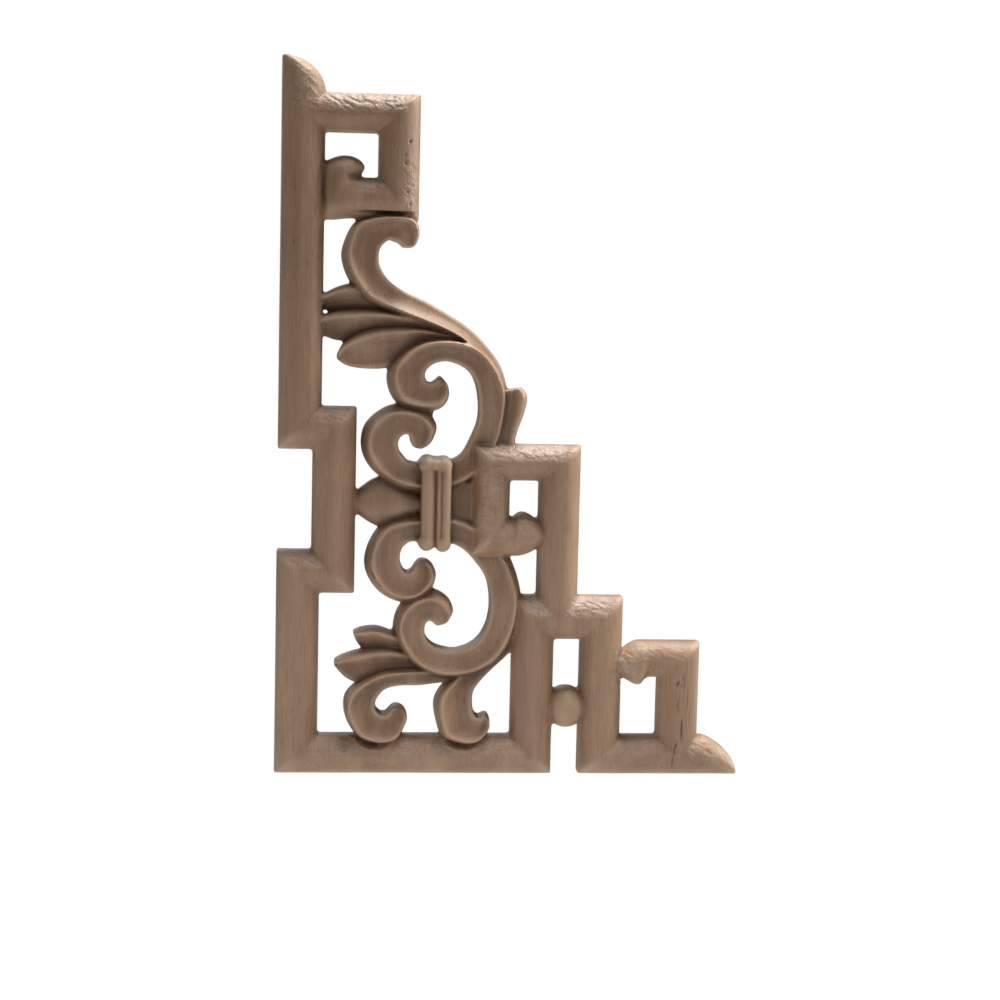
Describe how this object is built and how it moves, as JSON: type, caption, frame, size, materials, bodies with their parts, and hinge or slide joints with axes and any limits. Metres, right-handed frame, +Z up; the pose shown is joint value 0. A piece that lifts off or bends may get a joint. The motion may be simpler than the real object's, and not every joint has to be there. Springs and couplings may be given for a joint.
{
  "type": "carved wood corner applique",
  "caption": "Openwork carved corner ornament: a stepped half-round fret filled with leafy scrolls and bound by a reeded clasp, with a flat back for gluing to a panel.",
  "frame": {"origin": "on the flat back, behind the middle of the square corner block at the lower left", "axes": "+Z up along the long upright, +X along the bottom rail towards its rounded end, +Y out of the back; the carved front faces -Y"},
  "size_m": [0.1455, 0.0116, 0.2197],
  "materials": {
    "stained_wood": "unpolished, brown stained, rough end grain"
  },
  "bodies": {
    "root": {"carved_corner_applique": "stained_wood"}
  },
  "joints": []
}
